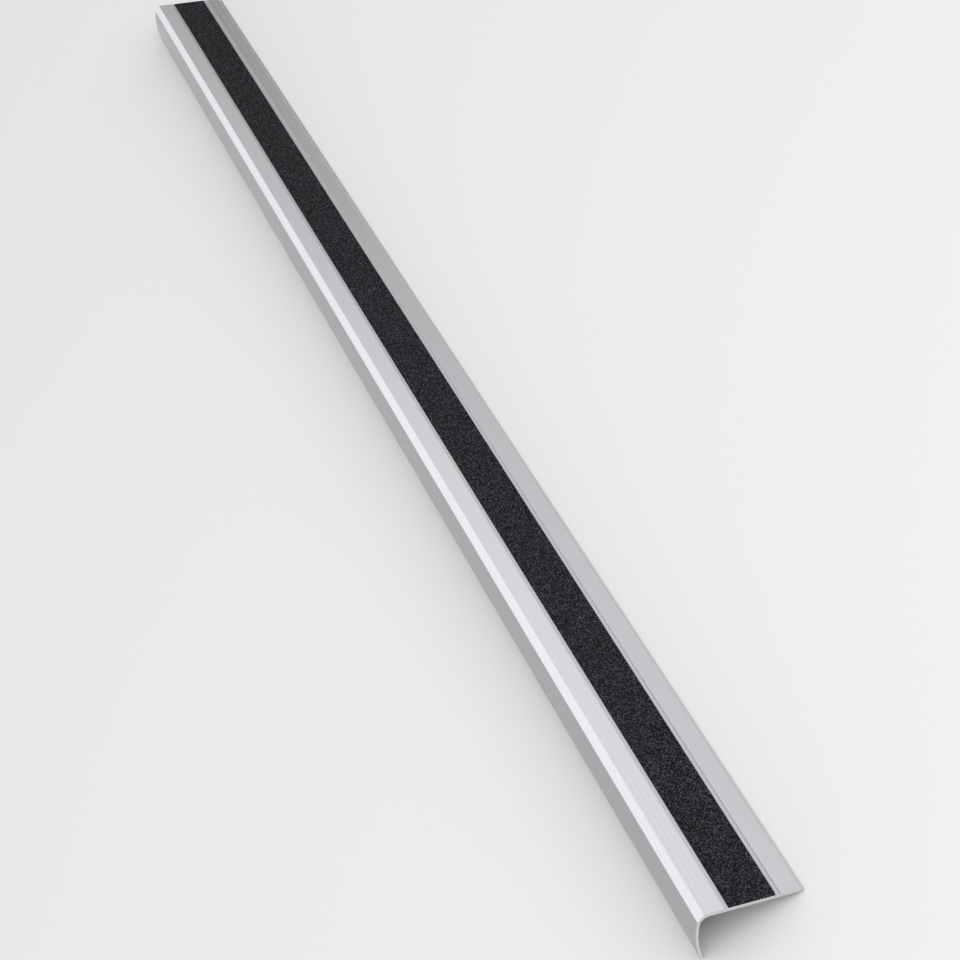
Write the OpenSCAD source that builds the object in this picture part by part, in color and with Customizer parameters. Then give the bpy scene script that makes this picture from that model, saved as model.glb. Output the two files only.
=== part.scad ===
// Stair nosing: one aluminium extrusion with a grit strip set in a shallow recess in its tread.
//
// The section is drawn as it is fitted to a stair, with the tread level. In it, x runs back from
// the front of the riser leg and y runs up from the top of the tread. The finished part lies the
// way it rests on a level floor: nose up, on the tip of its riser leg and the heel of its back
// edge. Its length then runs along X, the riser leg faces -Y, and the origin is on the floor
// under the middle of the part.

/* [Length] */
// Length that the extrusion is cut to
profile_length = 1000; // [200:10:3000]

/* [Nose] */
// Depth of the nose chamfer, from the front of the riser leg to the tread
nose_depth = 3.2; // [1.5:0.1:5]
// Drop of the nose chamfer, from the tread to the riser leg
nose_drop = 4.5; // [2:0.1:7]
// Radius of the corner inside the nose
nose_inner_r = 4.5; // [3:0.1:8]

/* [Riser leg] */
// Height over all, from the tread to the tip of the riser leg
profile_height = 31; // [22:0.5:40]
// Thickness of the riser leg
riser_t = 1.5; // [1:0.1:2.5]
// Radius of the bow in the front of the riser leg
bow_r = 54; // [36:1:200]
// Drop from the tread to the point where the bow is plumb
bow_drop = 8.8; // [6:0.1:14]
// Radius of the rounded tip, beyond half the thickness of the leg
tip_ease = 0.1; // [0.05:0.05:1]

/* [Tread leg] */
// Thickness of the tread leg
tread_t = 2.2; // [1.8:0.1:4]
// Width of the land in front of the recess
front_land = 10.2; // [4:0.1:30]
// Width of the ramp behind the recess
ramp_w = 10.7; // [4:0.1:30]
// Width of the thin lip along the back edge
lip_w = 1.9; // [1:0.1:8]
// Thickness of the thin lip along the back edge
lip_t = 0.5; // [0.4:0.1:0.9]
// Step down from the end of the ramp to the lip
lip_step = 0.5; // [0.4:0.1:0.8]
// Radius on the long edges of the land and the ramp
land_edge_r = 0.25; // [0.1:0.05:0.3]

/* [Grit strip] */
// Width of the strip
strip_w = 23.5; // [10:0.5:60]
// Thickness of the strip, which stands a little proud of the recess
strip_t = 0.6; // [0.4:0.1:1.2]
// Distance that each end of the strip stays back from the cut end of the extrusion
strip_setback = 0.6; // [0:0.1:5]
// Depth of the recess that the strip lies in
recess_depth = 0.4; // [0.4:0.1:1.1]
// Clearance in the recess along each side of the strip
strip_clearance = 2.25; // [0.2:0.05:5]

/* [Hidden] */
$fn = 360;

// Overshoot of the cutting shapes past the metal that they cut
overshoot = 1;

// Places along the tread, from the front of the riser leg
recess_w = strip_w + 2 * strip_clearance;
recess_x = nose_depth + front_land;
ramp_x = recess_x + recess_w;
lip_x = ramp_x + ramp_w;
profile_depth = lip_x + lip_w;

// Fall of the ramp, from the top of the tread to the step at the lip
ramp_drop = tread_t - lip_t - lip_step;
ramp_angle = atan(ramp_drop / ramp_w);

// Bow of the riser leg: both its faces are arcs about one centre
bow_centre = [bow_r, -bow_drop];
inner_bow_r = bow_r - riser_t;

// Corner inside the nose: an arc that runs into the underside of the tread and the inner bow
corner_y = -tread_t - nose_inner_r;
corner_x = bow_r - sqrt(pow(inner_bow_r - nose_inner_r, 2) - pow(corner_y + bow_drop, 2));
corner_centre = [corner_x, corner_y];
corner_angle = atan2(corner_y + bow_drop, bow_r - corner_x);

// Foot of the nose chamfer, on the outer bow
nose_foot = [bow_r - sqrt(pow(bow_r, 2) - pow(bow_drop - nose_drop, 2)), -nose_drop];

// Rounded tip of the riser leg, about a point midway between its faces
mid_bow_r = bow_r - riser_t / 2;
tip_r = riser_t / 2 + tip_ease;
tip_angle = asin((profile_height - tip_r - bow_drop) / mid_bow_r);
tip_centre = from_bow(mid_bow_r, tip_angle);

// Angle at which the outer bow runs into the round of the tip
tip_spread = acos((pow(mid_bow_r, 2) + pow(bow_r, 2) - pow(tip_r, 2)) / (2 * mid_bow_r * bow_r));
bow_end_angle = tip_angle + tip_spread;

// Rest on the floor: the floor touches the round of the tip and the lower corner of the back edge
heel = [profile_depth, -tread_t];
heel_reach = heel - tip_centre;
rest_tilt = atan2(heel_reach.y, heel_reach.x) + asin(tip_r / norm(heel_reach));
along_floor = [cos(rest_tilt), sin(rest_tilt)];
off_floor = [-sin(rest_tilt), cos(rest_tilt)];
floor_level = heel * off_floor;

// Footprint on the floor, from the foremost point of the riser leg to the top of the back edge
footprint_front = from_bow(bow_r, min(rest_tilt, bow_end_angle)) * along_floor;
footprint_back = [profile_depth, lip_t - tread_t] * along_floor;
footprint_middle = (footprint_front + footprint_back) / 2;

// Point at a distance from the centre of the bow, at an angle below the level of that centre
function from_bow(distance, angle) = bow_centre - distance * [cos(angle), sin(angle)];

// Level of a point on the ramp
function ramp_level(x) = -(x - ramp_x) * tan(ramp_angle);

// Disc about a point
module disc(centre, radius) {
    translate(centre) circle(radius);
}

// What is taken off an edge to round it, about the arc's centre and between the faces' two normals
module round_edge(centre, radius, normal_a, normal_b) {
    reach = radius + overshoot;
    difference() {
        polygon([
            centre,
            centre + reach * normal_a,
            centre + reach * (normal_a + normal_b),
            centre + reach * normal_b,
        ]);
        disc(centre, radius);
    }
}

// Corner of the angle, between the outer bow, the top of the tread and the round inside the nose
module nose_block() {
    difference() {
        intersection() {
            disc(bow_centre, bow_r);
            polygon([
                [corner_x, 0],
                [-overshoot, 0],
                from_bow(bow_r + overshoot, -corner_angle),
                corner_centre,
            ]);
        }
        disc(corner_centre, nose_inner_r);
    }
}

// Flat of the tread, from the inside corner to the back edge
module tread_flat() {
    translate([corner_x, -tread_t]) square([profile_depth - corner_x, tread_t]);
}

// Bowed leg, from inside the nose block to past its tip
module riser_leg() {
    reach = 2 * bow_r;
    overlap_angle = 2 * tip_spread;
    intersection() {
        difference() {
            disc(bow_centre, bow_r);
            disc(bow_centre, inner_bow_r);
        }
        polygon([
            bow_centre,
            from_bow(reach, -corner_angle - overlap_angle),
            from_bow(reach, bow_end_angle + overlap_angle),
        ]);
    }
}

// What is taken off the end of the bowed leg to round its tip
module tip_round() {
    reach = 2 * riser_t;
    difference() {
        translate(tip_centre) rotate(tip_angle) translate([-reach, -reach]) square([2 * reach, reach]);
        disc(tip_centre, tip_r);
    }
}

// Corner taken off between the tread and the riser leg
module nose_chamfer() {
    slope = (nose_foot - [nose_depth, 0]) / norm(nose_foot - [nose_depth, 0]);
    outward = [slope.y, -slope.x];
    high = [nose_depth, 0] - overshoot * slope;
    low = nose_foot + overshoot * slope;
    polygon([high, high + nose_drop * outward, low + nose_drop * outward, low]);
}

// What is taken off the long edges of the land in front of the recess and of the ramp behind it
module land_edges() {
    r = land_edge_r;
    up = [0, 1];
    back = [1, 0];
    off_ramp = [sin(ramp_angle), cos(ramp_angle)];
    below_ramp = [0, -r / cos(ramp_angle)];
    round_edge([recess_x - r, -r], r, back, up);
    round_edge([ramp_x + r, ramp_level(ramp_x + r)] + below_ramp, r, -back, off_ramp);
    round_edge([lip_x - r, ramp_level(lip_x - r)] + below_ramp, r, back, off_ramp);
}

// Shallow recess for the strip
module strip_recess() {
    translate([recess_x, -recess_depth]) square([recess_w, recess_depth + overshoot]);
}

// Ramp down behind the recess, with the step to the lip along the back edge
module back_ramp() {
    lip_top = lip_t - tread_t;
    beyond = profile_depth + overshoot;
    polygon([
        [ramp_x, overshoot],
        [ramp_x, 0],
        [lip_x, -ramp_drop],
        [lip_x, lip_top],
        [beyond, lip_top],
        [beyond, overshoot],
    ]);
}

// Section of the extrusion, as fitted
module profile_section() {
    difference() {
        union() {
            nose_block();
            tread_flat();
            riser_leg();
        }
        tip_round();
        nose_chamfer();
        strip_recess();
        back_ramp();
        land_edges();
    }
}

// Section of the strip, lying on the floor of its recess
module strip_section() {
    translate([recess_x + strip_clearance, -recess_depth]) square([strip_w, strip_t]);
}

// A section run out to a length, centred on the origin and laid as it rests on the floor
module laid_run(length) {
    translate([-length / 2, -footprint_middle, -floor_level])
        rotate([-rest_tilt, 0, 0])
            rotate([90, 0, 90])
                linear_extrude(length) children();
}

// Extruded aluminium nosing
module nosing_profile() {
    color("silver") laid_run(profile_length) profile_section();
}

// Black grit strip
module grip_strip() {
    color("#28272a") laid_run(profile_length - 2 * strip_setback) strip_section();
}

nosing_profile();
grip_strip();
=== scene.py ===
# %% [markdown]
# A stair nosing
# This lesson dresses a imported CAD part: one metre of extruded aluminium angle that guards the edge
# of a step, with a black grit strip lying in a shallow recess in its tread. The CAD gives the place
# and the sizes. Blender adds what the solids leave out: finer curves, broken edges, saw-cut ends,
# the grains of the grit, the finishes and the light.

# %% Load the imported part
import math

import bmesh
import bpy
import numpy as np
from mathutils import Matrix, Vector


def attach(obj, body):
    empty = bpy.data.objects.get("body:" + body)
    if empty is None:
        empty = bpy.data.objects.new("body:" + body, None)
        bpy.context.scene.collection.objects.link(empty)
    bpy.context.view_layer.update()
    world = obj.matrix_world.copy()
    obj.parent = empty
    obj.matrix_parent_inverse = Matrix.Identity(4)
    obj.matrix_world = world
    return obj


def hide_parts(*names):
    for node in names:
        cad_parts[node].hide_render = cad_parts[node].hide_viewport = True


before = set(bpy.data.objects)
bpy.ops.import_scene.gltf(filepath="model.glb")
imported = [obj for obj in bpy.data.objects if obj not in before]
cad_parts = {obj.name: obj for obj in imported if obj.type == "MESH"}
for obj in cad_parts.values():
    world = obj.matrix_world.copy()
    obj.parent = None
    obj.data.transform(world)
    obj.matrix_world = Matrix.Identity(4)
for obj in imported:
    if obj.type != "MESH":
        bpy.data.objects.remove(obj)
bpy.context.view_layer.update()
MM = 0.001
print("CAD nodes:", sorted(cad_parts))

# %% [markdown]
# The section
# An extrusion is one outline pushed along a line, so nearly everything is decided by its section.
# The numbers below are the ones the CAD part is made from, in millimetres. The section is drawn as
# the nosing is fitted to a stair: Y runs back from the front of the riser leg, and Z runs up from
# the top of the tread.

# %% Sizes of the section
profile_length = 1000.0
nose_depth = 3.2
nose_drop = 4.5
nose_inner_r = 4.5
profile_height = 31.0
riser_t = 1.5
bow_r = 54.0
bow_drop = 8.8
tip_ease = 0.1
tread_t = 2.2
front_land = 10.2
ramp_w = 10.7
lip_w = 1.9
lip_t = 0.5
lip_step = 0.5
strip_w = 23.5
strip_t = 0.6
strip_setback = 0.6
recess_depth = 0.4
strip_clearance = 2.25

recess_y = nose_depth + front_land
recess_w = strip_w + 2 * strip_clearance
ramp_y = recess_y + recess_w
lip_y = ramp_y + ramp_w
profile_depth = lip_y + lip_w
print("section:", round(profile_depth, 2), "mm deep,", profile_height, "mm high")

# %% [markdown]
# The centres of the arcs
# The riser leg is bowed: its two faces are arcs about one far centre. A round fillet joins the inner
# face to the underside of the tread, and a small round closes the tip. Each arc needs only its
# centre and the angle that it sweeps, so these are worked out first.

# %% Arcs of the section
bow_centre = Vector((bow_r, -bow_drop))
inner_bow_r = bow_r - riser_t
mid_bow_r = bow_r - riser_t / 2
tip_r = riser_t / 2 + tip_ease


def on_bow(radius, angle):
    """A point of the bow, at an angle below the level of its centre."""
    return bow_centre - radius * Vector((math.cos(angle), math.sin(angle)))


def crossing(radius):
    """The angle from the middle of the tip to where its round crosses a face of the bow."""
    cosine = (mid_bow_r**2 + radius**2 - tip_r**2) / (2 * mid_bow_r * radius)
    return math.acos(cosine)


nose_angle = -math.asin((bow_drop - nose_drop) / bow_r)
tip_angle = math.asin((profile_height - tip_r - bow_drop) / mid_bow_r)
tip_centre = on_bow(mid_bow_r, tip_angle)
outer_end = tip_angle + crossing(bow_r)
inner_end = tip_angle + crossing(inner_bow_r)
corner_z = -tread_t - nose_inner_r
corner_y = bow_r - math.sqrt((inner_bow_r - nose_inner_r) ** 2 - (corner_z + bow_drop) ** 2)
corner_angle = math.atan2(corner_z + bow_drop, bow_r - corner_y)


def bearing(centre, point):
    """The direction from a centre to a point, as an angle."""
    return math.atan2(point.y - centre.y, point.x - centre.x)


outer_bearing = bearing(tip_centre, on_bow(bow_r, outer_end))
inner_bearing = bearing(tip_centre, on_bow(inner_bow_r, inner_end))
tip_sweep = (inner_bearing - outer_bearing) % (2 * math.pi)
print("the bow sweeps", round(math.degrees(outer_end - nose_angle), 1), "degrees")

# %% [markdown]
# The rest on the floor
# Nothing holds the part, so it lies the way it comes to rest: nose up, like a low tent, on the round
# tip of its riser leg and the lower corner of its back edge. One matrix turns and lowers what is
# drawn as fitted into that place, which is where the CAD solids already are.

# %% Matrix from the fitted section to the floor
heel = Vector((profile_depth, -tread_t))
reach = heel - tip_centre
rest_tilt = math.atan2(reach.y, reach.x) + math.asin(tip_r / reach.length)
along_floor = Vector((math.cos(rest_tilt), math.sin(rest_tilt)))
off_floor = Vector((-math.sin(rest_tilt), math.cos(rest_tilt)))
floor_level = heel.dot(off_floor)
footprint_front = on_bow(bow_r, min(rest_tilt, outer_end)).dot(along_floor)
footprint_back = Vector((profile_depth, lip_t - tread_t)).dot(along_floor)
footprint_middle = (footprint_front + footprint_back) / 2
lowered = Matrix.Translation((0, -footprint_middle * MM, -floor_level * MM))
lay = lowered @ Matrix.Rotation(-rest_tilt, 4, "X")
print("the tread rests at", round(math.degrees(rest_tilt), 2), "degrees")

# %% [markdown]
# Drawing the outline
# The outline could be typed in as a long list of points. It is drawn with a pen instead: a straight
# run adds one vertex, and an arc spins the pen's vertex about a centre, which leaves a chain of
# edges behind it. Corners that a die would not leave sharp are kept in a list with the radius that
# they get. The ridge above the lip is rolled a little rounder than in the solids, so that its
# highlight is wide enough to show.

# %% Pen strokes
arc_step = math.radians(1.2)
fewest_steps = 8
outline = bmesh.new()
soft_corners = []


def line_to(pen, y, z, soften):
    """Draws a straight run from the pen to a corner, and returns the pen there."""
    corner = outline.verts.new((0, y * MM, z * MM))
    if pen is not None:
        outline.edges.new((pen, corner))
    soft_corners.append((corner, soften))
    return corner


def arc_about(pen, centre, sweep):
    """Spins the pen about a centre, and returns the pen at the end of the arc."""
    steps = max(fewest_steps, math.ceil(abs(sweep) / arc_step))
    spun = bmesh.ops.spin(
        outline,
        geom=[pen],
        cent=(0, centre.x * MM, centre.y * MM),
        axis=(1, 0, 0),
        angle=sweep,
        steps=steps,
    )
    return [item for item in spun["geom_last"] if isinstance(item, bmesh.types.BMVert)][0]


# %% Outline of the extrusion
broken_edge = 0.08
land_edge = 0.25
ridge_edge = 0.35
inner_edge = 0.12
first = line_to(None, *on_bow(bow_r, nose_angle), soften=broken_edge)
pen = arc_about(first, bow_centre, outer_end - nose_angle)
pen = arc_about(pen, tip_centre, tip_sweep)
pen = arc_about(pen, bow_centre, -corner_angle - inner_end)
pen = arc_about(pen, Vector((corner_y, corner_z)), corner_angle - math.pi / 2)
pen = line_to(pen, profile_depth, -tread_t, soften=inner_edge)
pen = line_to(pen, profile_depth, lip_t - tread_t, soften=inner_edge)
pen = line_to(pen, lip_y, lip_t - tread_t, soften=inner_edge)
pen = line_to(pen, lip_y, lip_t + lip_step - tread_t, soften=ridge_edge)
pen = line_to(pen, ramp_y, 0, soften=land_edge)
pen = line_to(pen, ramp_y, -recess_depth, soften=inner_edge)
pen = line_to(pen, recess_y, -recess_depth, soften=inner_edge)
pen = line_to(pen, recess_y, 0, soften=land_edge)
pen = line_to(pen, nose_depth, 0, soften=broken_edge)
outline.edges.new((pen, first))
print("outline:", len(outline.verts), "points,", len(soft_corners), "of them corners to round")

# %% [markdown]
# From outline to bar
# Filling the outline gives one flat face. Its sharp corners are rounded while it is still flat,
# because a vertex bevel on a flat face is quick and clean. Then the face is pushed out to the length
# of the bar. Last, each end face is inset and raised by a hair, which leaves the small broken edge
# that a file leaves on a saw-cut end.

# %% Fill and round
edge_segments = 5
bmesh.ops.edgeloop_fill(outline, edges=outline.edges[:])
for radius in sorted({soften for _, soften in soft_corners}):
    bmesh.ops.bevel(
        outline,
        geom=[vert for vert, soften in soft_corners if soften == radius],
        offset=radius * MM,
        offset_type="OFFSET",
        segments=edge_segments,
        profile=0.5,
        affect="VERTICES",
        material=-1,
    )
print("rounded outline:", len(outline.verts), "points")

# %% Push out and file the ends
deburr = 0.05
end_look = 0.9


def is_end(face):
    """Whether a face looks along the bar, as only its two ends do."""
    return abs(face.normal.x) > end_look


bar_length = (profile_length - 2 * deburr) * MM
bmesh.ops.translate(outline, vec=(-bar_length / 2, 0, 0), verts=outline.verts[:])
pushed = bmesh.ops.extrude_face_region(outline, geom=outline.faces[:])
far_verts = [item for item in pushed["geom"] if isinstance(item, bmesh.types.BMVert)]
bmesh.ops.translate(outline, vec=(bar_length, 0, 0), verts=far_verts)
bmesh.ops.recalc_face_normals(outline, faces=outline.faces[:])
end_faces = [face for face in outline.faces if is_end(face)]
bmesh.ops.inset_region(
    outline,
    faces=end_faces,
    thickness=deburr * MM,
    depth=deburr * MM,
    use_even_offset=True,
    use_boundary=True,
)
open_edges = [edge for edge in outline.edges if not edge.is_manifold]
print("bar:", len(outline.faces), "faces,", len(end_faces), "ends,", len(open_edges), "open edges")

# %% [markdown]
# Which finish goes where
# One bar carries four finishes. A belt brushes the chamfer, the land and the ramp, which it runs over
# from above, and it reaches down to the foot of the low wall in front of the ramp. The back edges of
# the land and the ramp get a lighter tone, which is a painted highlight. The riser leg, the recess,
# the lip and the inside keep the duller skin that the die left, in a darker tone that is painted
# shade, and the ends are saw-cut. Where a face lies and where it looks is enough to tell which of
# these it is.

# %% Finish of each face
brushed, unbrushed_skin_and_painted_shade, painted_highlight, saw_cut = range(4)
top_look = 0.15
chamfer_look = 0.3
painted_highlight_edges = (
    (recess_y - land_edge, recess_y),
    (lip_y - ridge_edge, lip_y),
)


def finish_of(face):
    """The finish of a face of the bar, from where it lies and where it looks."""
    middle = face.calc_center_median() / MM
    beside_recess = middle.y < recess_y or ramp_y - inner_edge < middle.y < lip_y
    on_top = face.normal.z > top_look and middle.z > -tread_t
    on_chamfer = face.normal.z > chamfer_look and face.normal.y < -chamfer_look
    if is_end(face):
        return saw_cut
    # The back edges of the land and the ramp get a lighter tone, a painted highlight.
    if on_top and any(start < middle.y < end for start, end in painted_highlight_edges):
        return painted_highlight
    if beside_recess and (on_top or on_chamfer):
        return brushed
    # Every other face keeps the unbrushed skin, whose darker tone is painted shade.
    return unbrushed_skin_and_painted_shade


outline.normal_update()
for face in outline.faces:
    face.smooth = True
    face.material_index = finish_of(face)
for name, number in (
    ("brushed", brushed),
    ("unbrushed skin and painted shade", unbrushed_skin_and_painted_shade),
    ("painted_highlight", painted_highlight),
    ("saw-cut", saw_cut),
):
    print(name, "faces:", sum(face.material_index == number for face in outline.faces))

# %% [markdown]
# Finished pieces
# One helper turns a finished bmesh into a piece: it is laid on the floor, gets its object at the
# origin, rides on the part's only body and stands for its CAD node. The bar is shaded smooth round
# its arcs and sharp at its hard edges, and weighted normals keep its flats flat beside the rounds.


# %% Piece helper and bar
def finish_piece(shape, name, node):
    """Lays a shape on the floor and makes it the piece that stands for a CAD node."""
    bmesh.ops.transform(shape, matrix=lay, verts=shape.verts[:])
    mesh = bpy.data.meshes.new(name)
    shape.to_mesh(mesh)
    shape.free()
    piece = bpy.data.objects.new(name, mesh)
    bpy.context.scene.collection.objects.link(piece)
    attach(piece, "root")
    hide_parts(node)
    mesh.calc_loop_triangles()
    print(name, "has", len(mesh.loop_triangles), "triangles")
    return piece


sharp_angle = math.radians(35)
extrusion = finish_piece(outline, "extruded_nosing", "nosing_profile")
extrusion.data.set_sharp_from_angle(angle=sharp_angle)
flat_faces = extrusion.modifiers.new("flats_stay_flat", "WEIGHTED_NORMAL")
flat_faces.keep_sharp = True

# %% [markdown]
# The grit strip
# The strip is a film coated with resin and mineral grains of about half a millimetre. A bump map
# alone would leave its outline smooth, and separate grains would take millions of faces. So its top
# is a fine grid with one vertex for a grain: each vertex is sunk by a random depth and, away from the
# border, shifted a little sideways. Flat shading makes every facet a crystal face. The border is
# drawn down to the floor of the recess and closed.

# %% Coated sheet
grain = 0.52
grain_relief = 0.16
grain_shift = 0.16
grain_seed = 12
depth_skew = (1.6, 1.4)
strip_length = profile_length - 2 * strip_setback
cells_along = round(strip_length / grain)
cells_across = round(strip_w / grain)
grit = bmesh.new()
bmesh.ops.create_grid(grit, x_segments=cells_along, y_segments=cells_across, size=0.5)
bmesh.ops.scale(grit, vec=(strip_length * MM, strip_w * MM, 1), verts=grit.verts[:])
random = np.random.default_rng(grain_seed)
shifts = random.uniform(-grain_shift, grain_shift, (len(grit.verts), 2))
depths = grain_relief * random.beta(*depth_skew, len(grit.verts))
for vert, shift, depth in zip(grit.verts, shifts, depths):
    if not vert.is_boundary:
        vert.co.x += shift[0] * MM
        vert.co.y += shift[1] * MM
    vert.co.z -= depth * MM
print("grit:", cells_along, "by", cells_across, "grains")

# %% Skirt and underside
rim = [edge for edge in grit.edges if edge.is_boundary]
drawn = bmesh.ops.extrude_edge_only(grit, edges=rim)
lower_verts = [item for item in drawn["geom"] if isinstance(item, bmesh.types.BMVert)]
lower_edges = [item for item in drawn["geom"] if isinstance(item, bmesh.types.BMEdge)]
for vert in lower_verts:
    vert.co.z = -strip_t * MM
bmesh.ops.edgeloop_fill(grit, edges=lower_edges)
bmesh.ops.recalc_face_normals(grit, faces=grit.faces[:])
strip_middle = recess_y + recess_w / 2
strip_top = strip_t - recess_depth
bmesh.ops.translate(grit, vec=(0, strip_middle * MM, strip_top * MM), verts=grit.verts[:])
grit_strip = finish_piece(grit, "grit_strip", "grip_strip")

# %% [markdown]
# Finishes
# Every finish is a small node tree, and three helpers do the work. One turns a hex colour as seen on
# a screen into the linear values that the shader wants. One adds a node with its settings and its
# inputs, where an input is either a value or the output of another node. One starts a new material.


# %% Colour and node helpers
def linear(hex_colour):
    """The linear colour of an sRGB hex value."""
    channels = [int(hex_colour[i : i + 2], 16) / 255 for i in (1, 3, 5)]
    return [c / 12.92 if c <= 0.04045 else ((c + 0.055) / 1.055) ** 2.4 for c in channels] + [1.0]


def add_node(tree, kind, settings=None, inputs=None):
    """Adds a node, sets its settings, and sets or links its inputs."""
    added = tree.nodes.new(kind)
    for name, value in (settings or {}).items():
        setattr(added, name, value)
    for name, value in (inputs or {}).items():
        if isinstance(value, bpy.types.NodeSocket):
            tree.links.new(value, added.inputs[name])
        else:
            added.inputs[name].default_value = value
    return added


def new_finish(name):
    """A new material, the tree that feeds it, and its shader."""
    finish = bpy.data.materials.new(name)
    finish.use_nodes = True
    tree = finish.node_tree
    return finish, tree, tree.nodes["Principled BSDF"]


print("a screen grey of #808080 is", round(linear("#808080")[0], 3), "in linear light")

# %% [markdown]
# Satin anodised aluminium
# The billet is pushed through a steel die, which scores it along its length. The top is then brushed,
# and the whole bar is etched and anodised to a soft grey. To the eye that is a pale, slightly cool
# metal with a broad, blurred reflection and faint long streaks. Real die lines are hundredths of a
# millimetre wide, too fine for the picture, so they are drawn about a millimetre apart. A second,
# slow noise gives the cloudy tone of the oxide. The brushed top, the die's skin and the back edges are
# the same metal in other tones, so one function makes all three: the skin's darker tone is painted
# shade, and the edges' lighter tone is a painted highlight.

# %% Anodised extruded aluminium
die_line = 1.1
die_run = 600.0
line_detail = 2.0
line_roughness = 0.55
line_range = (0.3, 0.7)
line_strength = 0.15
line_depth = 0.02
cloud = 90.0
cloud_detail = 2.0


def anodised(name, tones, roughnesses):
    """Anodised aluminium with lines along the bar, between two tones and two roughnesses."""
    finish, tree, shader = new_finish(name)
    place = add_node(tree, "ShaderNodeTexCoord").outputs["Object"]
    stretched = add_node(
        tree,
        "ShaderNodeMapping",
        inputs={"Vector": place, "Scale": (die_line / die_run, 1, 1)},
    ).outputs["Vector"]
    lines = add_node(
        tree,
        "ShaderNodeTexNoise",
        inputs={
            "Vector": stretched,
            "Scale": 1 / (die_line * MM),
            "Detail": line_detail,
            "Roughness": line_roughness,
        },
    ).outputs["Fac"]
    clouds = add_node(
        tree,
        "ShaderNodeTexNoise",
        inputs={"Vector": place, "Scale": 1 / (cloud * MM), "Detail": cloud_detail},
    ).outputs["Fac"]
    tone = add_node(
        tree,
        "ShaderNodeMix",
        settings={"data_type": "RGBA"},
        inputs={0: clouds, 6: linear(tones[0]), 7: linear(tones[1])},
    ).outputs[2]
    roughness = add_node(
        tree,
        "ShaderNodeMapRange",
        inputs={
            "Value": lines,
            "From Min": line_range[0],
            "From Max": line_range[1],
            "To Min": roughnesses[0],
            "To Max": roughnesses[1],
        },
    ).outputs["Result"]
    scored = add_node(
        tree,
        "ShaderNodeBump",
        inputs={"Height": lines, "Strength": line_strength, "Distance": line_depth * MM},
    ).outputs["Normal"]
    tree.links.new(tone, shader.inputs["Base Color"])
    tree.links.new(roughness, shader.inputs["Roughness"])
    tree.links.new(scored, shader.inputs["Normal"])
    shader.inputs["Metallic"].default_value = 1.0
    return finish


bar_finishes = [
    anodised("aluminium_brushed_satin_anodised", ("#C2C2C6", "#C6C6C9"), (0.2, 0.25)),
    # Darker tone of the unbrushed skin: painted shade in the recess, on the lip and on the riser leg.
    anodised("aluminium_unbrushed_skin_and_painted_shade_anodised", ("#AEAEB2", "#B3B3B6"), (0.22, 0.28)),
    # Lighter tone on the back edges: a painted highlight.
    anodised("aluminium_painted_highlight_edge_anodised", ("#E4E4E7", "#E8E8EA"), (0.16, 0.2)),
]
for finish in bar_finishes:
    extrusion.data.materials.append(finish)
    print("finish:", finish.name)

# %% [markdown]
# Saw-cut aluminium
# The bar is cut to length after anodising, so its two ends are bare metal with the marks of the saw:
# bands under half a millimetre wide in very shallow arcs, here drawn a little coarser. They scatter
# light, so an end looks more matt than the skin. A wave texture repeats every pi / (10 * scale), and
# its scale is worked out from the width of a mark by that.

# %% Saw-cut ends
cut_metal, tree, shader = new_finish("aluminium_saw_cut")
saw_mark = 0.7
mark_wander = 1.5
mark_detail = 2.0
mark_detail_scale = 2.0
mark_strength = 0.3
mark_depth = 0.02
cut_roughness = 0.42
place = add_node(tree, "ShaderNodeTexCoord").outputs["Object"]
marks = add_node(
    tree,
    "ShaderNodeTexWave",
    settings={"wave_type": "BANDS", "bands_direction": "Y"},
    inputs={
        "Vector": place,
        "Scale": math.pi / (10 * saw_mark * MM),
        "Distortion": mark_wander,
        "Detail": mark_detail,
        "Detail Scale": mark_detail_scale,
    },
).outputs["Fac"]
tone = add_node(
    tree,
    "ShaderNodeMix",
    settings={"data_type": "RGBA"},
    inputs={0: marks, 6: linear("#D6D6D9"), 7: linear("#E2E2E4")},
).outputs[2]
scored = add_node(
    tree,
    "ShaderNodeBump",
    inputs={"Height": marks, "Strength": mark_strength, "Distance": mark_depth * MM},
).outputs["Normal"]
tree.links.new(tone, shader.inputs["Base Color"])
tree.links.new(scored, shader.inputs["Normal"])
shader.inputs["Metallic"].default_value = 1.0
shader.inputs["Roughness"].default_value = cut_roughness
extrusion.data.materials.append(cut_metal)
print("finish:", cut_metal.name)

# %% [markdown]
# Black mineral grit in resin
# The grains are crushed aluminium oxide or silicon carbide, coloured black and drowned in a black
# resin. To the eye that is a near-black ground with dull grey sparks and very little gloss: most
# grains are buried, and some show a broken face. Cells a little smaller than a grain pick where a
# broken face shows and how rough it is, and finer cells crumble each facet.

# %% Grit in resin
grit_finish, tree, shader = new_finish("mineral_grit_in_black_resin")
spark = 0.4
spark_range = (0.7, 0.95)
grit_roughness = (0.95, 0.7)
grit_gloss = 0.02
crumb = 0.3
crumb_strength = 0.3
crumb_depth = 0.1
place = add_node(tree, "ShaderNodeTexCoord").outputs["Object"]
cells = add_node(
    tree,
    "ShaderNodeTexVoronoi",
    inputs={"Vector": place, "Scale": 1 / (spark * MM)},
).outputs["Color"]
picked = add_node(tree, "ShaderNodeSeparateColor", inputs={"Color": cells})
bare = add_node(
    tree,
    "ShaderNodeMapRange",
    inputs={
        "Value": picked.outputs["Red"],
        "From Min": spark_range[0],
        "From Max": spark_range[1],
    },
).outputs["Result"]
tone = add_node(
    tree,
    "ShaderNodeMix",
    settings={"data_type": "RGBA"},
    inputs={0: bare, 6: linear("#1A1A1C"), 7: linear("#58585E")},
).outputs[2]
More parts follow.
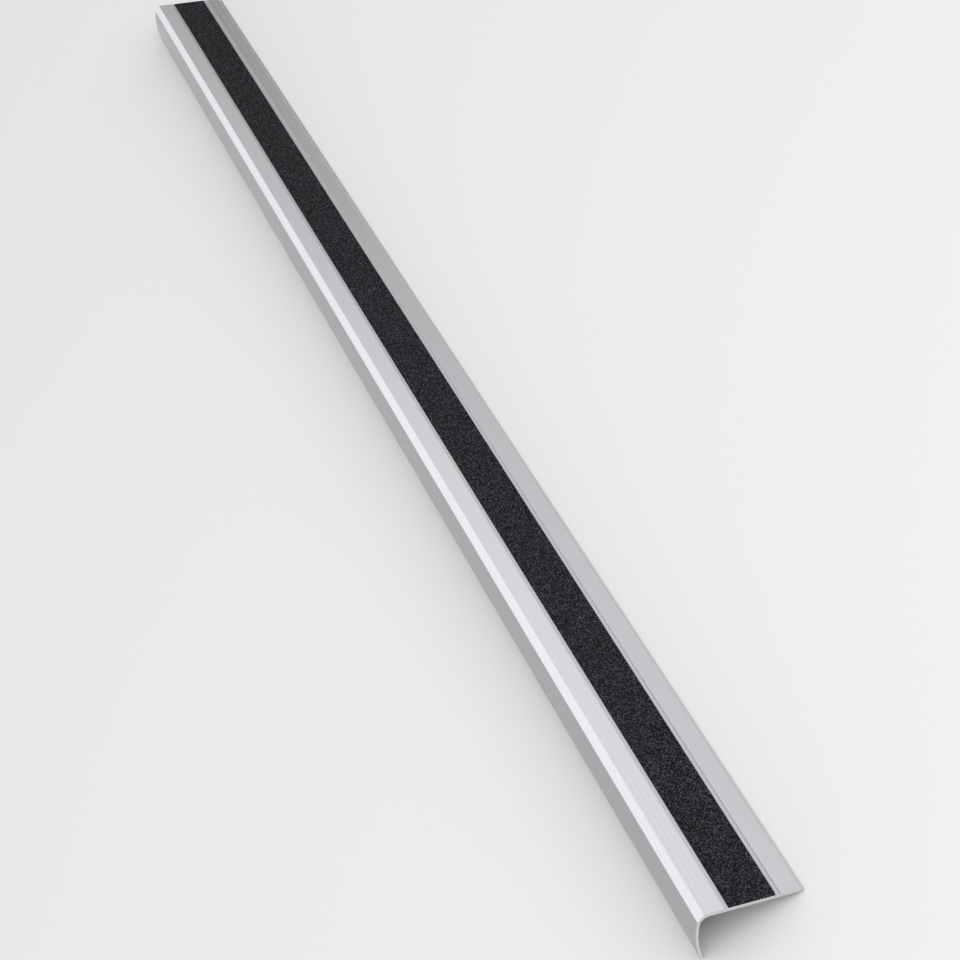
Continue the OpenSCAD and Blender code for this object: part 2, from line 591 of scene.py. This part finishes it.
roughness = add_node(
    tree,
    "ShaderNodeMapRange",
    inputs={
        "Value": picked.outputs["Green"],
        "To Min": grit_roughness[0],
        "To Max": grit_roughness[1],
    },
).outputs["Result"]
crumbs = add_node(
    tree,
    "ShaderNodeTexVoronoi",
    inputs={"Vector": place, "Scale": 1 / (crumb * MM)},
).outputs["Distance"]
crumbled = add_node(
    tree,
    "ShaderNodeBump",
    inputs={"Height": crumbs, "Strength": crumb_strength, "Distance": crumb_depth * MM},
).outputs["Normal"]
tree.links.new(tone, shader.inputs["Base Color"])
tree.links.new(roughness, shader.inputs["Roughness"])
tree.links.new(crumbled, shader.inputs["Normal"])
shader.inputs["Specular IOR Level"].default_value = grit_gloss
grit_strip.data.materials.append(grit_finish)
print("finish:", grit_finish.name)

# %% [markdown]
# Floor and light
# A metal shows its surroundings, so the room is part of the finish. The floor is plain white paper,
# which the riser leg mirrors. The room is a gradient in the world: its walls grow brighter up to about
# 27 degrees, where the tread looks, and its ceiling is dimmer. The wall beyond the far end is dim too,
# apart from its pale foot, so the tread darkens along its length. The front of the room, where the
# chamfer looks, is the brightest. One large, soft lamp behind the near end lights the floor and throws
# the part's soft shadow to the front.

# %% Floor
floor_size = 40.0
paper_tone = "#E6E6E6"
paper_roughness = 0.9
ground = bmesh.new()
bmesh.ops.create_grid(ground, x_segments=1, y_segments=1, size=floor_size / 2)
floor_mesh = bpy.data.meshes.new("studio_floor")
ground.to_mesh(floor_mesh)
ground.free()
floor = bpy.data.objects.new("studio_floor", floor_mesh)
bpy.context.scene.collection.objects.link(floor)
paper, _, shader = new_finish("matt_white_paper")
shader.inputs["Base Color"].default_value = linear(paper_tone)
shader.inputs["Roughness"].default_value = paper_roughness
shader.inputs["Specular IOR Level"].default_value = 0.0
floor_mesh.materials.append(paper)
print("floor:", floor_size, "m square, in", paper.name)

# %% Parts of the room
# Each pair gives the values of the direction's X, Y or Z between which a part of the room fades in
ceiling_edge = (0.47, 0.57)
far_edge = (-0.7, -0.95)
foot_edge = (0.07, 0.04)
front_edge = (0.1, -0.25)
world = bpy.data.worlds.new("pale_studio")
world.use_nodes = True
bpy.context.scene.world = world
tree = world.node_tree
outward = add_node(tree, "ShaderNodeTexCoord").outputs["Generated"]
direction = add_node(tree, "ShaderNodeSeparateXYZ", inputs={"Vector": outward})
parts = {}
for part, axis, edge in (
    ("ceiling", "Z", ceiling_edge),
    ("far side", "X", far_edge),
    ("pale foot", "Z", foot_edge),
    ("front", "Y", front_edge),
):
    parts[part] = add_node(
        tree,
        "ShaderNodeMapRange",
        settings={"interpolation_type": "SMOOTHSTEP"},
        inputs={"Value": direction.outputs[axis], "From Min": edge[0], "From Max": edge[1]},
    ).outputs["Result"]
print("parts of the room:", ", ".join(parts))

# %% Light of the room
wall_top = 0.45
wall_light = (0.565, 1.45)
ceiling_light = 0.65
far_rise = (0.05, 0.25)
far_light = 0.6
front_light = 1.25
walls = add_node(
    tree,
    "ShaderNodeMapRange",
    inputs={
        "Value": direction.outputs["Z"],
        "From Max": wall_top,
        "To Min": wall_light[0],
        "To Max": wall_light[1],
    },
).outputs["Result"]
walls_and_ceiling = add_node(
    tree,
    "ShaderNodeMix",
    inputs={"Factor": parts["ceiling"], "A": walls, "B": ceiling_light},
).outputs["Result"]
far_wall = add_node(
    tree,
    "ShaderNodeMapRange",
    inputs={
        "Value": direction.outputs["Z"],
        "From Min": far_rise[0],
        "From Max": far_rise[1],
        "To Max": far_light,
    },
).outputs["Result"]
far_wall_and_foot = add_node(
    tree,
    "ShaderNodeMath",
    settings={"operation": "MAXIMUM"},
    inputs={0: far_wall, 1: parts["pale foot"]},
).outputs["Value"]
dimming = add_node(
    tree,
    "ShaderNodeMix",
    inputs={"Factor": parts["far side"], "A": 1.0, "B": far_wall_and_foot},
).outputs["Result"]
back_and_front = add_node(
    tree,
    "ShaderNodeMix",
    inputs={"Factor": parts["front"], "A": dimming, "B": front_light},
).outputs["Result"]
lit_room = add_node(
    tree,
    "ShaderNodeMath",
    settings={"operation": "MULTIPLY"},
    inputs={0: walls_and_ceiling, 1: back_and_front},
).outputs["Value"]
room = tree.nodes["Background"]
tree.links.new(lit_room, room.inputs["Strength"])
room.inputs["Color"].default_value = (1, 1, 1, 1)
print("room:", len(tree.nodes), "nodes")

# %% Soft lamp
lamp_place = Vector((1.1, 1.1, 1.4))
lamp_aim = Vector((0.3, 0, 0))
lamp_size = 1.8
lamp_watts = 13.0
lamp_data = bpy.data.lights.new("near_lamp", "AREA")
lamp_data.shape = "SQUARE"
lamp_data.size = lamp_size
lamp_data.energy = lamp_watts
lamp = bpy.data.objects.new("near_lamp", lamp_data)
bpy.context.scene.collection.objects.link(lamp)
lamp.location = lamp_place
lamp.rotation_euler = (lamp_aim - lamp_place).to_track_quat("-Z", "Y").to_euler()
print("lamp:", lamp_size, "m square,", lamp_watts, "watts")

# %% [markdown]
# Camera
# The photograph shows the nosing as if it were fitted, with its tread level, from in front of its
# near end. The camera is given in that fitted frame, and the same matrix that lays the part on the
# floor carries the camera with it, so the view stays the same.

# %% Camera at the photograph's place
camera_data = bpy.data.cameras.new("camera")
camera_data.sensor_fit = "HORIZONTAL"
camera_data.sensor_width = 36.0
camera_data.lens = 81.365
camera_data.clip_end = 50.0
camera = bpy.data.objects.new("camera", camera_data)
bpy.context.scene.collection.objects.link(camera)
eye = Vector((1074.65, -348.9, 733.12)) * MM
rightward = Vector((0.354102, 0.934581, 0.034215)).normalized()
forward = Vector((-0.742128, 0.30307, -0.597825)).normalized()
upward = rightward.cross(forward)
axes = Matrix((rightward, upward, -forward)).transposed().to_4x4()
camera.matrix_world = lay @ Matrix.Translation(eye) @ axes
bpy.context.scene.camera = camera
bpy.context.scene.view_settings.view_transform = "Standard"
print("camera:", [round(c, 3) for c in camera.matrix_world.translation])
